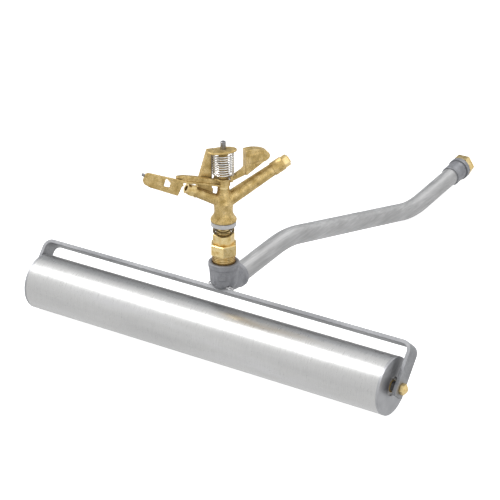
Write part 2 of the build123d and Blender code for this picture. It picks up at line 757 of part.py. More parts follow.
# Nozzles: hexagon tips with a round nose, each with a shank in its tube and a tapered jet
range_tip = (range_hex_flats, range_hex_length, range_nose_radius, range_nose_length)
drive_tip = (drive_hex_flats, drive_hex_length, drive_nose_radius, drive_nose_length)
range_inside = (range_bore_radius, range_shank_length, range_jet_radius)
drive_inside = (drive_bore_radius, drive_shank_length, drive_jet_radius)
for tip_name, tip_plane, tip_seat, tip, inside in (
    ("range", range_plane, range_seat, range_tip, range_inside),
    ("drive", drive_plane, drive_tube_length, drive_tip, drive_inside),
):
    flats, hex_length, nose_radius, nose_length = tip
    shank_radius, shank_length, jet_radius = inside
    with BuildPart() as nozzle:
        with BuildSketch(tip_plane.offset(tip_seat)):
            hexagon(flats)
        extrude(amount=hex_length)
        tip_axis = Axis(tip_plane.origin, tip_plane.z_dir)
        chamfer(nozzle.faces().sort_by(tip_axis)[-1].edges(), nozzle_hex_chamfer)
        with BuildSketch(tip_plane.offset(tip_seat)):
            Circle(nose_radius)
        extrude(amount=hex_length + nose_length)
        with BuildSketch(tip_plane.offset(tip_seat)):
            Circle(shank_radius - seat_gap)
        extrude(amount=-shank_length)
        with BuildSketch(tip_plane.offset(tip_seat - shank_length)):
            Circle(shank_radius - nozzle_hex_chamfer)
        with BuildSketch(tip_plane.offset(tip_seat + hex_length + nose_length)):
            Circle(jet_radius)
        loft(mode=Mode.SUBTRACT)
    finish(nozzle.part, tip_name + "_nozzle")

# Fulcrum pin: steel, seated in the pad and the top plate, slotted at its top
with BuildPart() as fulcrum_pin:
    with BuildSketch(head.offset(pad_z - pin_seat_depth)):
        Circle(pin_radius)
    extrude(amount=pin_top_z - pad_z + pin_seat_depth)
    chamfer(fulcrum_pin.edges().group_by(Axis.Z)[-1], pin_slot_width / 2)
    with BuildSketch(head.offset(pin_top_z)):
        Rectangle(4 * pin_radius, pin_slot_width)
    extrude(amount=-pin_slot_depth, mode=Mode.SUBTRACT)
finish(fulcrum_pin.part, "fulcrum_pin")

# Thrust washers: below the arm's hub, and between its post and the spring hub
pin_bore = pin_radius + seat_gap
finish(ring(head.offset(pad_z), arm_washer_radius, pin_bore, arm_washer_thickness), "arm_thrust_washer")
finish(ring(head.offset(post_top_z + face_gap), spring_hub_radius, pin_bore, upper_washer_thickness), "post_washer")

# Arm bush: the plastic sleeve in the hub that turns on the pin
arm_bush_outer = pin_radius + turning_gap + arm_bush_wall
arm_bush = ring(head.offset(hub_z), arm_bush_outer, pin_radius + turning_gap, post_top_z - hub_z)
finish(arm_bush, "arm_bush")

# Return spring: a torsion spring, its lower tail at the arm's lug and its upper tail in the top plate
spring_rise = spring_head_z - spring_foot_z
with BuildPart() as return_spring:
    spring_plane = head.offset(spring_foot_z).rotated((0, 0, spring_foot_angle))
    with BuildLine() as spring_path:
        coils = Helix(
            pitch=spring_rise / spring_turns,
            height=spring_rise,
            radius=spring_radius,
            center=(0, elbow_y, spring_foot_z),
            mode=Mode.PRIVATE,
        )
        add(coils.rotate(Axis((0, elbow_y, 0), (0, 0, 1)), heading + spring_foot_angle))
    with BuildSketch(Plane(origin=spring_path.line @ 0, z_dir=spring_path.line % 0)):
        Circle(spring_wire_radius)
    sweep(is_frenet=True)
    with Locations(Location(spring_path.line @ 0), Location(spring_path.line @ 1)):
        Sphere(spring_wire_radius)
    with BuildSketch(Plane(origin=spring_path.line @ 0, z_dir=spring_plane.x_dir)):
        Circle(spring_wire_radius)
    extrude(amount=spring_tail_reach - spring_radius)
    with BuildSketch(Plane(origin=spring_path.line @ 1, z_dir=(0, 0, 1))):
        Circle(spring_wire_radius)
    extrude(amount=plate_top_z - spring_head_z)
finish(return_spring.part, "return_spring")

# Hammer arm: hub with post, web and lip to the spoon, web to the counterweight
web_end = spoon_start + web_reach
with BuildPart() as hammer_arm:
    with BuildSketch(side.offset(-web_far)):
        with BuildLine():
            Polyline(
                (0, hub_z + 0.5),
                (-web_bend_out, hub_z + web_bend_foot),
                (-web_end, hub_z + web_foot_height + 1.5),
                (-web_end, hub_z + web_crest_height),
                (-web_end + hub_radius, hub_z + web_crest_height),
                (-web_bend_out, hub_z + web_bend_crest),
                (-hub_radius, hub_z + hub_height - 2),
                (0, hub_z + hub_height - 1.5),
                (weight_inner / 2, hub_z + weight_foot_height + 1.2),
                (weight_inner - 5, hub_z + weight_foot_height + 6.5),
                (weight_inner + 3, hub_z + weight_foot_height + weight_root_height),
                (weight_inner + 3, hub_z + weight_foot_height + 0.6),
                (hub_radius, hub_z + hub_height / 2 - 1.2),
                close=True,
            )
        make_face()
    extrude(amount=web_far + web_near)
    with BuildSketch(side.offset(-web_far)):
        with BuildLine():
            Polyline(
                (-hub_radius / 2, hub_z + 0.6),
                (-web_bend_out, hub_z + web_bend_foot),
                (-spoon_start - 1, hub_z + web_foot_height),
                (-spoon_start - 1, hub_z + web_foot_height + lip_thickness),
                (-web_bend_out, hub_z + web_bend_foot + lip_thickness),
                (-hub_radius / 2, hub_z + 0.6 + lip_thickness),
                close=True,
            )
        make_face()
    extrude(amount=web_far + lip_near)
    with BuildSketch(head.offset(hub_z)):
        Circle(hub_radius)
    extrude(amount=hub_height)
    with BuildSketch(head.offset(hub_top_z - hub_seat_height)):
        Circle(hub_seat_radius)
    extrude(amount=hub_seat_height)
    with BuildSketch(head.offset(hub_top_z)):
        Circle(post_radius)
    extrude(amount=post_top_z - hub_top_z)
    with BuildSketch(head.offset(hub_top_z - hub_seat_height).rotated((0, 0, lug_angle))):
        with Locations((lug_outer / 2, 0)):
            Rectangle(lug_outer, lug_width)
    extrude(amount=hub_seat_height)
    with BuildSketch(head.offset(hub_top_z - hub_seat_height).rotated((0, 0, lug_angle))):
        with Locations(((lug_inner + lug_outer) / 2, 0)):
            Rectangle(lug_outer - lug_inner, lug_width)
    extrude(amount=hub_seat_height + lug_height)
    with BuildSketch(side.offset(spoon_near)) as spoon_plate:
        with BuildLine():
            Polyline(
                (-spoon_start, hub_z + spoon_shoulder_height),
                (-spoon_end + spoon_crest_back, hub_z + spoon_crest_height),
                (-spoon_end + spoon_end_round, hub_z + spoon_crest_height - spoon_end_round / 2),
                (-spoon_end, hub_z + (spoon_crest_height + spoon_tail_height) / 2),
                (-spoon_end + spoon_end_round / 2, hub_z + spoon_tail_height + 2 * spoon_end_round),
                (-spoon_end + spoon_tail_back, hub_z + spoon_tail_height),
                (-spoon_start - spoon_foot_slant, hub_z - spoon_foot_depth),
                (-spoon_start - spoon_foot_slant + 1.3, hub_z - spoon_foot_depth + 1),
                (-spoon_start, hub_z + spoon_edge_height),
                close=True,
            )
        make_face()
    extrude(amount=-spoon_wall)
    with BuildSketch(side.offset(spoon_near)):
        with BuildLine():
            Polyline(
                (-spoon_start, hub_z + scoop_edge_height),
                (-spoon_end + scoop_inset + spoon_end_round * 2, hub_z + spoon_crest_height - scoop_drop),
                (-spoon_end + scoop_inset, hub_z + spoon_crest_height - scoop_drop - 1.3),
                (-spoon_end + scoop_inset - 1.5, hub_z + spoon_crest_height - scoop_drop - 6),
                (-spoon_end + scoop_inset + 1.5, hub_z + spoon_crest_height - scoop_drop - 6.7),
                (-spoon_end + scoop_inset + 2.9, hub_z + spoon_crest_height - scoop_drop - 3.1),
                (-spoon_end + scoop_inset + 6.3, hub_z + spoon_crest_height - scoop_drop - 3),
                (-spoon_start, hub_z + scoop_edge_height - 3),
                close=True,
            )
        make_face()
    extrude(amount=-(spoon_near + spoon_far))
    with BuildSketch(side.offset(spoon_near)):
        with BuildLine():
            Polyline(
                (-spoon_start, hub_z + spoon_edge_height),
                (-spoon_start - spoon_foot_slant + 1.3, hub_z - spoon_foot_depth + 1),
                (-spoon_start - spoon_foot_slant, hub_z - spoon_foot_depth),
                (-spoon_start - spoon_foot_slant - 2.4, hub_z - spoon_foot_depth + 1.7),
                (-spoon_start - spoon_wall, hub_z + spoon_edge_height),
                close=True,
            )
        make_face()
    extrude(amount=-(spoon_near + deflector_far))
    window_foot = window_crest_height - window_height
    with BuildSketch(side.offset(spoon_near)):
        with BuildLine():
            Polyline(
                (-spoon_start - window_start, hub_z + window_crest_height),
                (-spoon_start - window_start - window_width, hub_z + window_crest_height + 2.1),
                (-spoon_start - window_start - window_width - window_lean, hub_z + window_foot + 2.9),
                (-spoon_start - window_start - window_lean, hub_z + window_foot),
                close=True,
            )
        make_face()
    extrude(amount=-(spoon_near + spoon_far), mode=Mode.SUBTRACT)
    weight_outer = weight_inner + weight_length
    with BuildSketch(side.offset(-weight_half_thickness)):
        with BuildLine():
            Polyline(
                (weight_outer - 8, hub_z + weight_heel_height - 2.2),
                (weight_inner + 1, hub_z + weight_foot_height - 0.4),
                (weight_inner, hub_z + weight_foot_height + 0.8),
                (weight_inner, hub_z + weight_crest_height - 0.7),
            )
            Spline(
                (weight_inner, hub_z + weight_crest_height - 0.7),
                (weight_inner + 11, hub_z + weight_crest_height),
                (weight_inner + weight_crown_end, hub_z + weight_crest_height - 1.6),
                (weight_outer - 3.4, hub_z + weight_crest_height - 5.4),
                (weight_outer, hub_z + weight_heel_height + 5.4),
                (weight_outer - 2.4, hub_z + weight_heel_height + 0.6),
                (weight_outer - 8, hub_z + weight_heel_height - 2.2),
            )
        make_face()
    extrude(amount=2 * weight_half_thickness)
    panel_foot = hub_z + weight_heel_height - 1.6
    with BuildSketch(side.offset(weight_half_thickness)):
        with BuildLine():
            Polyline(
                (weight_inner + panel_margin, panel_foot),
                (weight_inner + panel_margin, panel_foot + panel_height - 1),
                (weight_inner + panel_margin + panel_length, panel_foot + panel_height + 1),
                (weight_inner + panel_margin + panel_length, panel_foot + 1.4),
                close=True,
            )
        make_face()
    extrude(amount=panel_rise)
    with BuildSketch(head.offset(hub_z)):
        Circle(arm_bush_outer + seat_gap)
    extrude(amount=post_top_z - hub_z, mode=Mode.SUBTRACT)
    pin_foot = (-spoon_end + scoop_inset + 2.6, hub_z + spoon_crest_height - scoop_drop + 0.8)
    spoon_pin_plane = Plane(
        origin=side.offset(spoon_near - spoon_wall + spoon_pin_radius / 4).from_local_coords(pin_foot),
        z_dir=(-heading_cos * 0.9, -heading_sin * 0.9, 0.4),
    )
    with BuildSketch(spoon_pin_plane):
        Circle(spoon_pin_radius)
    extrude(amount=spoon_pin_length, mode=Mode.SUBTRACT)
finish(hammer_arm.part, "hammer_arm")

# Spoon pin: a steel pin pressed into the spoon's outer corner
with BuildPart() as spoon_pin:
    with BuildSketch(spoon_pin_plane):
        Circle(spoon_pin_radius - seat_gap)
    extrude(amount=spoon_pin_length)
finish(spoon_pin.part, "spoon_pin")
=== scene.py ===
import bpy
from math import cos, radians, sin, tau
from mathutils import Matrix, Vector


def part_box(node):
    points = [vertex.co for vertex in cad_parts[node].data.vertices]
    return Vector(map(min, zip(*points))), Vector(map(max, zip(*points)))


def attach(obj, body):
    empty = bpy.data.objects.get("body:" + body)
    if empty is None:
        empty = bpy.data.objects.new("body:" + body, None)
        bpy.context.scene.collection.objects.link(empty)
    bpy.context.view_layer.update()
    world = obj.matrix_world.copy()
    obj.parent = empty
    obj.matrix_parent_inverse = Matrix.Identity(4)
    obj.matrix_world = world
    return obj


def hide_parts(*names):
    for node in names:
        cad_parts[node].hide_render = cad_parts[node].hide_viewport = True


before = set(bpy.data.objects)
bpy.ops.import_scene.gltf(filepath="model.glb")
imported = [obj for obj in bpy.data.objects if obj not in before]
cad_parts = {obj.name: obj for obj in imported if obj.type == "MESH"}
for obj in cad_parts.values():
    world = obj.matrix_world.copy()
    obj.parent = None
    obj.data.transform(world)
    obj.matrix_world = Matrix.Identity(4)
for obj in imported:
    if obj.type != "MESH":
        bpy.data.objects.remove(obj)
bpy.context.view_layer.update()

# Camera: a long lens a little above the roller's right end, level, aimed at a point over the axle.
# Its angles, distance and lens come from the roller's, the yoke's and the pipe's edges.
camera_turn = radians(33.23)
camera_height = radians(24.40)
camera_distance = 2.3501
camera_target = Vector((0.0666, 0, 0.17029))
lens_in_frame_widths = 3.7232
toward_camera = Vector((
    sin(camera_turn) * cos(camera_height),
    -cos(camera_turn) * cos(camera_height),
    sin(camera_height),
))
camera_data = bpy.data.cameras.new("photo_camera")
camera_data.sensor_width = 36
camera_data.lens = lens_in_frame_widths * camera_data.sensor_width
camera_data.clip_end = 20
camera = bpy.data.objects.new("photo_camera", camera_data)
camera.location = camera_target + camera_distance * toward_camera
camera.rotation_euler = toward_camera.to_track_quat("Z", "Y").to_euler()
bpy.context.collection.objects.link(camera)
bpy.context.scene.camera = camera
bpy.context.scene.view_settings.view_transform = "Standard"

# Studio light: the world is white to the camera and in reflections, and a softer grey-white as light.
# Three large lamps stand round the table, the key lamp high on the left as on a product table.
world = bpy.data.worlds.new("studio_world")
bpy.context.scene.world = world
world.use_nodes = True
world_nodes = world.node_tree.nodes
world_links = world.node_tree.links
sky = world_nodes["Background"]
sky.inputs["Color"].default_value = (0.93, 0.94, 0.96, 1)
sky.inputs["Strength"].default_value = 0.36


def seen_directly(nodes, links):
    """One for rays from the camera, from a mirror and through glass, else zero."""
    rays = nodes.new("ShaderNodeLightPath")
    either = None
    for kind in ("Is Camera Ray", "Is Glossy Ray", "Is Transmission Ray"):
        if either is None:
            either = rays.outputs[kind]
            continue
        larger = nodes.new("ShaderNodeMath")
        larger.operation = "MAXIMUM"
        links.new(either, larger.inputs[0])
        links.new(rays.outputs[kind], larger.inputs[1])
        either = larger.outputs[0]
    return either


white_sky = world_nodes.new("ShaderNodeBackground")
white_sky.inputs["Color"].default_value = (1, 1, 1, 1)
white_sky.inputs["Strength"].default_value = 1
sky_choice = world_nodes.new("ShaderNodeMixShader")
world_links.new(seen_directly(world_nodes, world_links), sky_choice.inputs["Fac"])
world_links.new(sky.outputs[0], sky_choice.inputs[1])
world_links.new(white_sky.outputs[0], sky_choice.inputs[2])
world_links.new(sky_choice.outputs[0], world_nodes["World Output"].inputs["Surface"])


def studio_lamp(name, place, aim, size, power):
    """A square area lamp at a place, aimed at a point."""
    lamp_data = bpy.data.lights.new(name, "AREA")
    lamp_data.size = size
    lamp_data.energy = power
    lamp = bpy.data.objects.new(name, lamp_data)
    lamp.location = place
    lamp.rotation_euler = (Vector(place) - Vector(aim)).to_track_quat("Z", "Y").to_euler()
    bpy.context.collection.objects.link(lamp)


table_middle = (0.05, 0.2, 0.1)
studio_lamp("key_lamp", (-0.95, -0.6, 1.75), table_middle, 0.6, 19)
studio_lamp("fill_lamp", (1.9, -0.9, 1.2), table_middle, 1.3, 6)
studio_lamp("back_lamp", (0.3, 2.0, 1.9), table_middle, 1.2, 10)


# Floor: a seamless white table top that nearly reaches white by itself and keeps a faint shadow.
def flat_card(name, size, place, turn=(0, 0, 0)):
    """A plain square card of the studio, not part of the object."""
    bpy.ops.object.select_all(action="DESELECT")
    bpy.ops.mesh.primitive_plane_add(size=size, location=place, rotation=turn)
    card = bpy.context.object
    card.name = name
    return card


floor = flat_card("studio_floor", 14, (0, 0, -0.0006))
floor_paint = bpy.data.materials.new("studio_floor_paint")
floor_paint.use_nodes = True
floor_nodes = floor_paint.node_tree.nodes
floor_links = floor_paint.node_tree.links
floor_shader = floor_nodes["Principled BSDF"]
floor_shader.inputs["Base Color"].default_value = (0.86, 0.86, 0.87, 1)
floor_shader.inputs["Roughness"].default_value = 0.9
floor_shader.inputs["Specular IOR Level"].default_value = 0.1
floor_glow = floor_nodes.new("ShaderNodeEmission")
floor_glow.inputs["Strength"].default_value = 0.86
floor_lit = floor_nodes.new("ShaderNodeAddShader")
floor_mirrored = floor_nodes.new("ShaderNodeEmission")
floor_mirrored.inputs["Strength"].default_value = 0.92
floor_rays = floor_nodes.new("ShaderNodeLightPath")
floor_shown = floor_nodes.new("ShaderNodeMixShader")
floor_links.new(floor_rays.outputs["Is Camera Ray"], floor_shown.inputs["Fac"])
floor_links.new(floor_mirrored.outputs[0], floor_shown.inputs[1])
floor_links.new(floor_lit.outputs[0], floor_shown.inputs[2])
floor_choice = floor_nodes.new("ShaderNodeMixShader")
floor_links.new(floor_shader.outputs[0], floor_lit.inputs[0])
floor_links.new(floor_glow.outputs[0], floor_lit.inputs[1])
floor_links.new(seen_directly(floor_nodes, floor_links), floor_choice.inputs["Fac"])
floor_links.new(floor_shader.outputs[0], floor_choice.inputs[1])
floor_links.new(floor_shown.outputs[0], floor_choice.inputs[2])
floor_links.new(floor_choice.outputs[0], floor_nodes["Material Output"].inputs["Surface"])
floor.data.materials.append(floor_paint)

# Grey wall: stands far behind the table, above the picture, and gives the metal its grey reflections.
wall_distance = 5.2
wall_middle = camera_target - wall_distance * Vector((sin(camera_turn), -cos(camera_turn), 0))
grey_wall = flat_card("grey_wall", 5.2, (wall_middle.x, wall_middle.y, 2.8), (radians(90), 0, camera_turn))
wall_paint = bpy.data.materials.new("grey_wall_paint")
wall_paint.use_nodes = True
wall_shader = wall_paint.node_tree.nodes["Principled BSDF"]
wall_shader.inputs["Base Color"].default_value = (0.35, 0.35, 0.36, 1)
wall_shader.inputs["Roughness"].default_value = 0.9
wall_shader.inputs["Emission Color"].default_value = (0.9, 0.95, 1, 1)
wall_shader.inputs["Emission Strength"].default_value = 0.25
grey_wall.data.materials.append(wall_paint)


# Roller: a drawn steel tube closed by two flat discs, which are welded in and turned flush.
# Its steel is bright, with fine brush lines round it and long faint stains along it.
def new_surface(name, metallic, roughness):
    """A new material, its shader and the place it takes its patterns from."""
    paint = bpy.data.materials.new(name)
    paint.use_nodes = True
    shader = paint.node_tree.nodes["Principled BSDF"]
    shader.inputs["Metallic"].default_value = metallic
    shader.inputs["Roughness"].default_value = roughness
    place = paint.node_tree.nodes.new("ShaderNodeTexCoord").outputs["Object"]
    return paint, shader, place


def mottle(paint, place, patch, stretch=(1, 1, 1), detail=4):
    """Soft noise with patches of that width in metres, drawn out along the stretched axes."""
    drawn = paint.node_tree.nodes.new("ShaderNodeMapping")
    drawn.inputs["Scale"].default_value = tuple(1 / (patch * length) for length in stretch)
    noise = paint.node_tree.nodes.new("ShaderNodeTexNoise")
    noise.inputs["Scale"].default_value = 1
    noise.inputs["Detail"].default_value = detail
    paint.node_tree.links.new(place, drawn.inputs["Vector"])
    paint.node_tree.links.new(drawn.outputs[0], noise.inputs["Vector"])
    return noise.outputs["Fac"]


def colours(paint, pattern, *stops):
    """Colour by pattern, from (position, colour) stops."""
    ramp = paint.node_tree.nodes.new("ShaderNodeValToRGB")
    while len(ramp.color_ramp.elements) < len(stops):
        ramp.color_ramp.elements.new(0.5)
    for element, (position, colour) in zip(ramp.color_ramp.elements, stops):
        element.position = position
        element.color = (*colour, 1)
    paint.node_tree.links.new(pattern, ramp.inputs[0])
    return ramp.outputs[0]


def blend_colours(paint, share, one, other, kind="MULTIPLY"):
    """Two colours put together, the share a number or a pattern."""
    mix = paint.node_tree.nodes.new("ShaderNodeMix")
    mix.data_type = "RGBA"
    mix.blend_type = kind
    if isinstance(share, float):
        mix.inputs["Factor"].default_value = share
    else:
        paint.node_tree.links.new(share, mix.inputs["Factor"])
    paint.node_tree.links.new(one, mix.inputs["A"])
    paint.node_tree.links.new(other, mix.inputs["B"])
    return mix.outputs["Result"]


def between(paint, pattern, low, high, dark_end=0.3, light_end=0.7):
    """A number that goes from low to high with the pattern."""
    span = paint.node_tree.nodes.new("ShaderNodeMapRange")
    span.inputs["From Min"].default_value = dark_end
    span.inputs["From Max"].default_value = light_end
    span.inputs["To Min"].default_value = low
    span.inputs["To Max"].default_value = high
    paint.node_tree.links.new(pattern, span.inputs["Value"])
    return span.outputs[0]


def relief(paint, shader, pattern, depth):
    """Bumps of that depth in metres, on top of the bumps already there."""
    bump = paint.node_tree.nodes.new("ShaderNodeBump")
    bump.inputs["Strength"].default_value = 1
    bump.inputs["Distance"].default_value = depth
    paint.node_tree.links.new(pattern, bump.inputs["Height"])
    if shader.inputs["Normal"].is_linked:
        paint.node_tree.links.new(shader.inputs["Normal"].links[0].from_socket, bump.inputs["Normal"])
    paint.node_tree.links.new(bump.outputs[0], shader.inputs["Normal"])


def occlusion_shade(paint, reach):
    """Near zero in corners and gaps narrower than the reach, one on open faces; a mask for painted shade.
    """
    shade = paint.node_tree.nodes.new("ShaderNodeAmbientOcclusion")
    shade.inputs["Distance"].default_value = reach
    shade.samples = 8
    return shade.outputs["AO"]


def wire_up(paint, shader, socket, source):
    """Lead a pattern into one of the shader's inputs."""
    paint.node_tree.links.new(source, shader.inputs[socket])


def dress(node, paint):
    """Give a CAD node its finished material."""
    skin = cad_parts[node].data
    skin.materials.clear()
    skin.materials.append(paint)


def turned_steel():
    """Bright roller steel."""
    paint, shader, place = new_surface("turned_roller_steel", 0.9, 0.3)
    brush = mottle(paint, place, 0.0009, (0.5, 12, 12), 3)
    stain = mottle(paint, place, 0.03, (8, 1, 1), 5)
    base = colours(
        paint, stain,
        (0.3, (0.53, 0.53, 0.53)), (0.55, (0.61, 0.61, 0.605)), (0.75, (0.66, 0.66, 0.67)),
    )
    fine = colours(paint, brush, (0.3, (0.86, 0.86, 0.86)), (0.7, (1, 1, 1)))
    wire_up(paint, shader, "Base Color", blend_colours(paint, 0.8, base, fine))
    wire_up(paint, shader, "Roughness", between(paint, brush, 0.26, 0.38))
    relief(paint, shader, brush, 0.00001)
    return paint


roller_steel = turned_steel()
dress("roller_tube", roller_steel)
dress("core_tube", roller_steel)


# Roller discs: flat steel discs, brushed across, greyer than the tube.
def disc_steel():
    """Matt grey disc steel with straight brush lines."""
    paint, shader, place = new_surface("brushed_disc_steel", 0.85, 0.4)
    brush = mottle(paint, place, 0.0007, (1, 18, 0.6), 3)
    stain = mottle(paint, place, 0.02, (1, 1, 1), 5)
    base = colours(paint, stain, (0.3, (0.38, 0.385, 0.40)), (0.7, (0.50, 0.505, 0.52)))
    fine = colours(paint, brush, (0.3, (0.8, 0.8, 0.8)), (0.7, (1, 1, 1)))
    wire_up(paint, shader, "Base Color", blend_colours(paint, 0.7, base, fine))
    wire_up(paint, shader, "Roughness", between(paint, brush, 0.34, 0.5))
    relief(paint, shader, brush, 0.000012)
    return paint


brushed_disc = disc_steel()
dress("roller_disc_left", brushed_disc)
dress("roller_disc_right", brushed_disc)


# Axle bushes and sand washer: white moulded plastic, a little dusty, with a fine moulding grain and
# painted shade in its corners and gaps.
def white_nylon():
    """Off-white plastic."""
    paint, shader, place = new_surface("white_nylon", 0, 0.42)
    haze = mottle(paint, place, 0.006)
    grain = mottle(paint, place, 0.0004, detail=2)
    clean = colours(paint, haze, (0.3, (0.74, 0.73, 0.72)), (0.7, (0.84, 0.83, 0.83)))
    # Painted shade: the plastic darkens to brown-grey in corners and gaps.
    painted_gap_shade = colours(paint, occlusion_shade(paint, 0.003), (0.2, (0.45, 0.42, 0.38)), (0.9, (1, 1, 1)))
    wire_up(paint, shader, "Base Color", blend_colours(paint, 0.8, clean, painted_gap_shade))
    wire_up(paint, shader, "Roughness", between(paint, haze, 0.36, 0.5))
    relief(paint, shader, grain, 0.00002)
    return paint


white_plastic = white_nylon()
dress("axle_bushes", white_plastic)
dress("sand_washer", white_plastic)


# Axle and its inner nuts: dark steel, kept near black also for the shade they sit in between the arm and
# the roller disc, threaded right through, oily in the thread's roots.
def oiled_steel():
    """Dark steel with a fine screw thread along X."""
    paint, shader, place = new_surface("oiled_dark_steel", 0.85, 0.4)
    thread = paint.node_tree.nodes.new("ShaderNodeTexWave")
    thread.wave_type = "BANDS"
    thread.bands_direction = "X"
    thread.inputs["Scale"].default_value = 1 / 0.00125 / 20 * tau
    thread.inputs["Distortion"].default_value = 0
    paint.node_tree.links.new(place, thread.inputs["Vector"])
    oil = mottle(paint, place, 0.003)
    # Partly painted shade: dark steel, made near black for the shade in the gap between the arm and the
    # disc.
    base = colours(paint, oil, (0.3, (0.045, 0.045, 0.05)), (0.7, (0.13, 0.13, 0.14)))
    wire_up(paint, shader, "Base Color", base)
    wire_up(paint, shader, "Roughness", between(paint, oil, 0.3, 0.5))
    relief(paint, shader, thread.outputs["Fac"], 0.0002)
    return paint


dark_steel = oiled_steel()
dress("axle", dark_steel)
dress("axle_jam_nuts", dark_steel)


# Machined brass: the cap nuts, washers, riser bush, nipple, sleeve, nozzles and the hose inlet.
# It is bright and warm, with fine tool lines, small cloudy stains and painted shade in its corners.
def machined_brass_paint():
    """Bright turned and milled brass."""
    paint, shader, place = new_surface("machined_brass", 0.92, 0.3)
    tool = mottle(paint, place, 0.0005, (14, 14, 0.5), 3)
    cloud = mottle(paint, place, 0.005, detail=5)
    base = colours(
        paint, cloud,
        (0.28, (0.56, 0.38, 0.13)), (0.5, (0.78, 0.60, 0.28)), (0.72, (0.86, 0.70, 0.37)),
    )
    # Painted shade: the brass darkens in corners and gaps.
    corner = colours(paint, occlusion_shade(paint, 0.003), (0.25, (0.38, 0.25, 0.10)), (0.85, (1, 1, 1)))
    wire_up(paint, shader, "Base Color", blend_colours(paint, 1.0, base, corner))
    wire_up(paint, shader, "Roughness", between(paint, tool, 0.24, 0.42))
    relief(paint, shader, tool, 0.000012)
    return paint


machined_brass = machined_brass_paint()
for brass_node in (
    "axle_cap_nuts", "axle_washers", "inlet_bush", "riser_bush", "bearing_nipple", "bearing_sleeve",
    "range_nozzle", "drive_nozzle", "arm_thrust_washer",
):
    dress(brass_node, machined_brass)


# Yoke: flat steel bar with rolled edges, bent to a U and zinc plated, mid grey with a fine spangle and
# painted shade where it comes close to other parts.
def zinc_plate():
    """Dull zinc plating."""
    paint, shader, place = new_surface("zinc_plated_bar", 0.55, 0.5)
    spangle = mottle(paint, place, 0.0022, (2.5, 1, 1), 3)
    cloud = mottle(paint, place, 0.02, (3, 1, 1), 4)
    base = colours(paint, cloud, (0.3, (0.29, 0.295, 0.305)), (0.7, (0.42, 0.425, 0.435)))
    # Painted shade: the bar darkens where it comes within a centimetre of other parts.
    painted_shade_near_parts = colours(paint, occlusion_shade(paint, 0.01), (0.2, (0.4, 0.4, 0.4)), (0.9, (1, 1, 1)))
    fleck = colours(paint, spangle, (0.3, (0.68, 0.68, 0.7)), (0.7, (1.1, 1.1, 1.1)))
    skin = blend_colours(paint, 0.8, base, fleck)
    wire_up(paint, shader, "Base Color", blend_colours(paint, 0.8, skin, painted_shade_near_parts))
    wire_up(paint, shader, "Roughness", between(paint, spangle, 0.4, 0.6))
    relief(paint, shader, spangle, 0.00003)
    return paint


dress("yoke", zinc_plate())


# Feed pipe: galvanised tube with a matt grey skin, drawn out in long soft streaks by the bender.
def galvanised_skin():
    """Matt galvanised tube."""
    paint, shader, place = new_surface("galvanised_tube", 0.5, 0.5)
    streak = mottle(paint, place, 0.0024, (1, 16, 1), 4)
    cloud = mottle(paint, place, 0.03, (1, 2, 1), 4)
    base = colours(paint, cloud, (0.3, (0.48, 0.48, 0.48)), (0.7, (0.60, 0.60, 0.60)))
    line = colours(paint, streak, (0.3, (0.76, 0.76, 0.76)), (0.7, (1.1, 1.1, 1.1)))
    wire_up(paint, shader, "Base Color", blend_colours(paint, 0.9, base, line))
    wire_up(paint, shader, "Roughness", between(paint, streak, 0.4, 0.6))
    relief(paint, shader, streak, 0.00003)
    return paint


dress("feed_pipe", galvanised_skin())


# Elbow: a malleable casting, galvanised, with a raised pad and ribs left by the pattern.
# The hose socket at the pipe's end is cast and coated the same way.
def galvanised_casting():
    """Grey cast skin with a cool cast, a sandy grain and painted shade in its corners."""
    paint, shader, place = new_surface("galvanised_casting", 0.35, 0.5)
    sand = mottle(paint, place, 0.0011, detail=5)
    cloud = mottle(paint, place, 0.009, detail=4)
    base = colours(paint, cloud, (0.3, (0.29, 0.295, 0.315)), (0.7, (0.42, 0.425, 0.45)))
    speck = colours(paint, sand, (0.32, (0.72, 0.72, 0.72)), (0.68, (1.1, 1.1, 1.1)))
    # Painted shade: the casting darkens in its corners and round its ribs.
    corner = colours(paint, occlusion_shade(paint, 0.006), (0.2, (0.3, 0.3, 0.3)), (0.85, (1, 1, 1)))
    skin = blend_colours(paint, 0.8, base, speck)
    wire_up(paint, shader, "Base Color", blend_colours(paint, 0.9, skin, corner))
    wire_up(paint, shader, "Roughness", between(paint, sand, 0.4, 0.62))
    relief(paint, shader, sand, 0.00016)
    return paint


def merged_copy(node, name):
    """A copy of a CAD node's mesh, its loose triangles joined into one skin."""
    bpy.ops.object.select_all(action="DESELECT")
    copy = bpy.data.objects.new(name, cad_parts[node].data.copy())
    bpy.context.collection.objects.link(copy)
    copy.data.name = name
    copy.data.materials.clear()
    copy.select_set(True)
    bpy.context.view_layer.objects.active = copy
    bpy.ops.object.mode_set(mode="EDIT")
    bpy.ops.mesh.select_all(action="SELECT")
    bpy.ops.mesh.remove_doubles(threshold=0.00001)
    bpy.ops.mesh.normals_make_consistent(inside=False)
    bpy.ops.object.mode_set(mode="OBJECT")
    return copy


def cast_skin(piece, grain, softness):
    """Turn a piece into one closed casting with rounded edges, its surface cells as wide as the grain."""
    bpy.ops.object.select_all(action="DESELECT")
    piece.select_set(True)
    bpy.context.view_layer.objects.active = piece
    skin = piece.modifiers.new("one_skin", "REMESH")
    skin.mode = "VOXEL"
    skin.voxel_size = grain
    bpy.ops.object.modifier_apply(modifier=skin.name)
    soft = piece.modifiers.new("soft_edges", "SMOOTH")
    soft.factor = 0.5
    soft.iterations = softness
    bpy.ops.object.modifier_apply(modifier=soft.name)
    bpy.ops.object.shade_smooth()


def join_into(piece, others):
    """Join other meshes into a piece."""
    bpy.ops.object.select_all(action="DESELECT")
    for other in others:
        other.select_set(True)
    piece.select_set(True)
    bpy.context.view_layer.objects.active = piece
    bpy.ops.object.join()


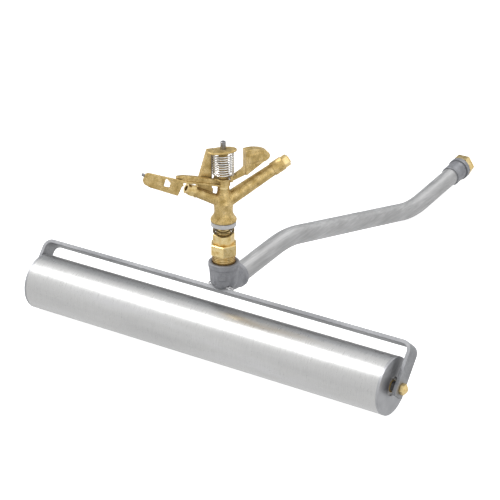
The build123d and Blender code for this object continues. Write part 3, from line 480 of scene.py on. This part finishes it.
def block(place, size, turn):
    """A small bevelled block at a place, turned about Z, as raised detail of a casting."""
    bpy.ops.object.select_all(action="DESELECT")
    bpy.ops.mesh.primitive_cube_add(size=1, location=place, rotation=(0, 0, turn))
    raised = bpy.context.object
    raised.scale = size
    bpy.ops.object.transform_apply(location=True, rotation=True, scale=True)
    bpy.ops.object.mode_set(mode="EDIT")
    bpy.ops.mesh.select_all(action="SELECT")
    bpy.ops.mesh.bevel(offset=min(size) * 0.2, segments=2)
    bpy.ops.object.mode_set(mode="OBJECT")
    return raised


head_low, head_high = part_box("sand_washer")
head_middle = (head_low + head_high) / 2
elbow_low, elbow_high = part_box("elbow")
ring_z = elbow_high.z
cup_radius = 0.0186
cast_elbow = merged_copy("elbow", "cast_elbow")
raised_marks = []
for angle_from_camera, height, size in (
    (-8, 0.0165, (0.0022, 0.0115, 0.0088)),
    (-40, 0.0180, (0.0024, 0.0016, 0.0190)),
    (24, 0.0175, (0.0022, 0.0014, 0.0150)),
):
    turn = camera_turn - radians(90 - angle_from_camera)
    out = Vector((cos(turn), sin(turn), 0))
    place = Vector((0, head_middle.y, ring_z - height)) + out * cup_radius
    raised_marks.append(block(place, size, turn))
join_into(cast_elbow, raised_marks)
cast_skin(cast_elbow, 0.0005, 4)
cast_grey = galvanised_casting()
cast_elbow.data.materials.append(cast_grey)
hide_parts("elbow")
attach(cast_elbow, "frame")
dress("hose_socket", cast_grey)


# Weld: a row of overlapping beads round the elbow's heel, bright and a little burnt.
def weld_bead_metal():
    """Bright weld metal with heat tints."""
    paint, shader, place = new_surface("weld_bead", 0.8, 0.35)
    ripple = mottle(paint, place, 0.0008, detail=3)
    tint = mottle(paint, place, 0.004)
    base = colours(
        paint, tint, (0.3, (0.20, 0.19, 0.19)), (0.5, (0.55, 0.55, 0.56)), (0.7, (0.75, 0.75, 0.76)),
    )
    wire_up(paint, shader, "Base Color", base)
    wire_up(paint, shader, "Roughness", between(paint, tint, 0.25, 0.5))
    relief(paint, shader, ripple, 0.0002)
    return paint


weld_beads = merged_copy("elbow_weld", "weld_beads")
weld_points = [v.co.copy() for v in weld_beads.data.vertices]
weld_middle = sum(weld_points, Vector()) / len(weld_points)
weld_core = 0.011
bead_radius = 0.0021
outer_points = sorted(
    (p for p in weld_points if (p - weld_middle).length > weld_core),
    key=lambda p: (p - weld_middle).length,
)
beads = []
bead_spacing = 0.0026
for point in reversed(outer_points):
    if all((point - bead.location).length > bead_spacing for bead in beads):
        bpy.ops.object.select_all(action="DESELECT")
        bpy.ops.mesh.primitive_ico_sphere_add(subdivisions=3, radius=bead_radius, location=point)
        bead = bpy.context.object
        bead.scale = (1, 1, 0.75)
        beads.append(bead)
for bead in beads:
    bpy.ops.object.select_all(action="DESELECT")
    bead.select_set(True)
    bpy.context.view_layer.objects.active = bead
    bpy.ops.object.transform_apply(location=True, rotation=True, scale=True)
join_into(weld_beads, beads)
cast_skin(weld_beads, 0.0004, 3)
weld_beads.data.materials.append(weld_bead_metal())
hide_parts("elbow_weld")
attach(weld_beads, "frame")


# Screw threads: cut ridges that show between the elbow's ring and the riser's hexagon.
def screw_thread(name, radius, foot, pitch, turns, rise):
    """A helical ridge about the head's axis, modelled as a three-cornered profile screwed upwards."""
    bpy.ops.object.select_all(action="DESELECT")
    bpy.ops.mesh.primitive_circle_add(
        vertices=3, radius=rise, fill_type="NOTHING", rotation=(radians(90), 0, 0),
    )
    ridge = bpy.context.object
    ridge.name = name
    bpy.ops.object.transform_apply(rotation=True)
    bpy.ops.object.mode_set(mode="EDIT")
    bpy.ops.mesh.select_all(action="SELECT")
    bpy.ops.transform.rotate(value=radians(-90), orient_axis="Y", center_override=(0, 0, 0))
    bpy.ops.transform.translate(value=(radius - rise * 0.3, 0, 0))
    bpy.ops.object.mode_set(mode="OBJECT")
    screw = ridge.modifiers.new("screwed_up", "SCREW")
    screw.axis = "Z"
    screw.screw_offset = pitch
    screw.iterations = turns
    screw.steps = 64
    screw.render_steps = 64
    bpy.ops.object.modifier_apply(modifier=screw.name)
    ridge.location = (0, head_middle.y, foot)
    bpy.ops.object.transform_apply(location=True)
    bpy.ops.object.mode_set(mode="EDIT")
    bpy.ops.mesh.select_all(action="SELECT")
    bpy.ops.mesh.normals_make_consistent(inside=False)
    bpy.ops.object.mode_set(mode="OBJECT")
    return ridge


def thread_brass():
    """Raw brass of a cut thread, painted dark for the shade in the ring's mouth, with painted shade in its
    roots.
    """
    paint, shader, place = new_surface("cut_thread_brass", 0.85, 0.36)
    stain = mottle(paint, place, 0.003, (1, 1, 0.5), 4)
    # Painted shade: these colours are far darker than the machined brass, for the shade inside the ring's
    # mouth.
    base = colours(
        paint, stain, (0.3, (0.14, 0.07, 0.012)), (0.5, (0.34, 0.19, 0.045)), (0.7, (0.55, 0.35, 0.11)),
    )
    # Painted shade: darker still in the roots between the ridges.
    painted_root_shade = colours(paint, occlusion_shade(paint, 0.002), (0.3, (0.22, 0.13, 0.04)), (0.85, (1, 1, 1)))
    wire_up(paint, shader, "Base Color", blend_colours(paint, 1.0, base, painted_root_shade))
    wire_up(paint, shader, "Roughness", between(paint, stain, 0.3, 0.45))
    relief(paint, shader, stain, 0.00003)
    return paint


thread_radius = 0.0146
thread_sink = 0.0002
thread_pitch = 0.0023
thread_turns = 5
thread_rise = 0.00115
riser_thread = screw_thread(
    "riser_thread", thread_radius, ring_z - thread_sink, thread_pitch, thread_turns, thread_rise,
)
riser_thread.data.materials.append(thread_brass())
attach(riser_thread, "frame")


# Friction spring: wave washers of flat bronze wire, stacked crest to crest round the sleeve.
def spring_bronze_paint():
    """Dark bronze wire with bright rubbed crests."""
    paint, shader, place = new_surface("bronze_wire", 0.9, 0.35)
    rub = mottle(paint, place, 0.003, (1, 1, 0.4))
    base = colours(
        paint, rub, (0.3, (0.07, 0.05, 0.02)), (0.5, (0.24, 0.17, 0.07)), (0.72, (0.50, 0.38, 0.18)),
    )
    wire_up(paint, shader, "Base Color", base)
    wire_up(paint, shader, "Roughness", between(paint, rub, 0.28, 0.45))
    relief(paint, shader, rub, 0.00002)
    return paint


spring_low, spring_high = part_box("friction_spring")
wave_rings = 4
wave_lobes = 3
wire_height = 0.00045
wire_half_width = 0.0013
wave_radius = 0.0129
wave_spacing = (spring_high.z - spring_low.z) / wave_rings
wave_rise = (wave_spacing - 2 * wire_height) / 2
wave_parts = []
for ring_number in range(wave_rings):
    bpy.ops.object.select_all(action="DESELECT")
    bpy.ops.mesh.primitive_torus_add(
        major_radius=wave_radius, minor_radius=wire_half_width, major_segments=96, minor_segments=12,
        location=(0, head_middle.y, spring_low.z + wave_spacing * (ring_number + 0.5)),
    )
    wave_ring = bpy.context.object
    turned_over = ring_number % 2 * tau / 2
    for corner in wave_ring.data.vertices:
        around = Vector((corner.co.x, corner.co.y)).angle_signed(Vector((1, 0)))
        corner.co.z = corner.co.z * wire_height / wire_half_width
        corner.co.z += wave_rise * cos(wave_lobes * around + turned_over)
    bpy.ops.object.transform_apply(location=True)
    wave_parts.append(wave_ring)
wave_spring = wave_parts[0]
wave_spring.name = "wave_spring"
join_into(wave_spring, wave_parts[1:])
bpy.ops.object.shade_smooth()
wave_spring.data.materials.append(spring_bronze_paint())
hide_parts("friction_spring")
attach(wave_spring, "sprinkler")


# Sprinkler body: one sand casting in brass, matt olive gold, with a sandy skin and painted shade in its
# corners.
def sand_cast_brass():
    """Cast brass skin."""
    paint, shader, place = new_surface("sand_cast_brass", 0.75, 0.38)
    sand = mottle(paint, place, 0.0012, detail=5)
    cloud = mottle(paint, place, 0.008, detail=4)
    base = colours(
        paint, cloud, (0.3, (0.46, 0.32, 0.11)), (0.5, (0.64, 0.475, 0.20)), (0.7, (0.80, 0.62, 0.31)),
    )
    speck = colours(
        paint, sand, (0.3, (0.56, 0.51, 0.43)), (0.5, (0.98, 0.97, 0.95)), (0.7, (1.25, 1.22, 1.15)),
    )
    # Painted shade: the casting darkens in its corners and between its parts.
    corner = colours(paint, occlusion_shade(paint, 0.007), (0.15, (0.22, 0.17, 0.10)), (0.8, (1, 1, 1)))
    skin = blend_colours(paint, 0.85, base, speck)
    wire_up(paint, shader, "Base Color", blend_colours(paint, 1.0, skin, corner))
    wire_up(paint, shader, "Roughness", between(paint, sand, 0.34, 0.55))
    relief(paint, shader, sand, 0.00022)
    return paint


cast_brass = sand_cast_brass()
cast_body = merged_copy("sprinkler_body", "cast_body")
cast_skin(cast_body, 0.00055, 4)
cast_body.data.materials.append(cast_brass)
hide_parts("sprinkler_body")
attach(cast_body, "sprinkler")

# Hammer arm: a second brass casting, with the spoon, its window, the lip and the counterweight.
cast_arm = merged_copy("hammer_arm", "cast_arm")
cast_skin(cast_arm, 0.0005, 3)
cast_arm.data.materials.append(cast_brass)
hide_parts("hammer_arm")
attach(cast_arm, "hammer")


# Fulcrum pin and spoon pin: turned steel pins with rings from the tool.
def turned_pin_steel():
    """Mid grey turned steel."""
    paint, shader, place = new_surface("turned_pin_steel", 0.9, 0.32)
    rings = mottle(paint, place, 0.0004, (20, 20, 0.8), 3)
    base = colours(paint, rings, (0.3, (0.14, 0.14, 0.145)), (0.7, (0.40, 0.40, 0.41)))
    wire_up(paint, shader, "Base Color", base)
    wire_up(paint, shader, "Roughness", between(paint, rings, 0.25, 0.4))
    relief(paint, shader, rings, 0.00002)
    return paint


pin_steel = turned_pin_steel()
dress("fulcrum_pin", pin_steel)
dress("spoon_pin", pin_steel)


# Return spring: bright hard-drawn wire, polished along its length.
def bright_wire():
    """Bright spring wire."""
    paint, shader, place = new_surface("bright_spring_wire", 1, 0.2)
    draw = mottle(paint, place, 0.0015, (3, 3, 0.6), 3)
    base = colours(paint, draw, (0.3, (0.55, 0.54, 0.51)), (0.7, (0.85, 0.84, 0.82)))
    wire_up(paint, shader, "Base Color", base)
    wire_up(paint, shader, "Roughness", between(paint, draw, 0.15, 0.3))
    relief(paint, shader, draw, 0.00001)
    return paint


dress("return_spring", bright_wire())


# Small plastic and rubber pieces between the turning parts: black, matt, slightly dusty.
def black_moulding(name, roughness):
    """Black moulded plastic or rubber."""
    paint, shader, place = new_surface(name, 0, roughness)
    dust = mottle(paint, place, 0.002)
    base = colours(paint, dust, (0.3, (0.012, 0.012, 0.012)), (0.7, (0.045, 0.045, 0.045)))
    wire_up(paint, shader, "Base Color", base)
    wire_up(paint, shader, "Roughness", between(paint, dust, roughness - 0.08, roughness + 0.08))
    relief(paint, shader, dust, 0.00002)
    return paint


black_plastic = black_moulding("black_moulded_plastic", 0.45)
dress("post_washer", black_plastic)
dress("arm_bush", black_plastic)
dress("seal_washer", black_moulding("black_seal_rubber", 0.7))
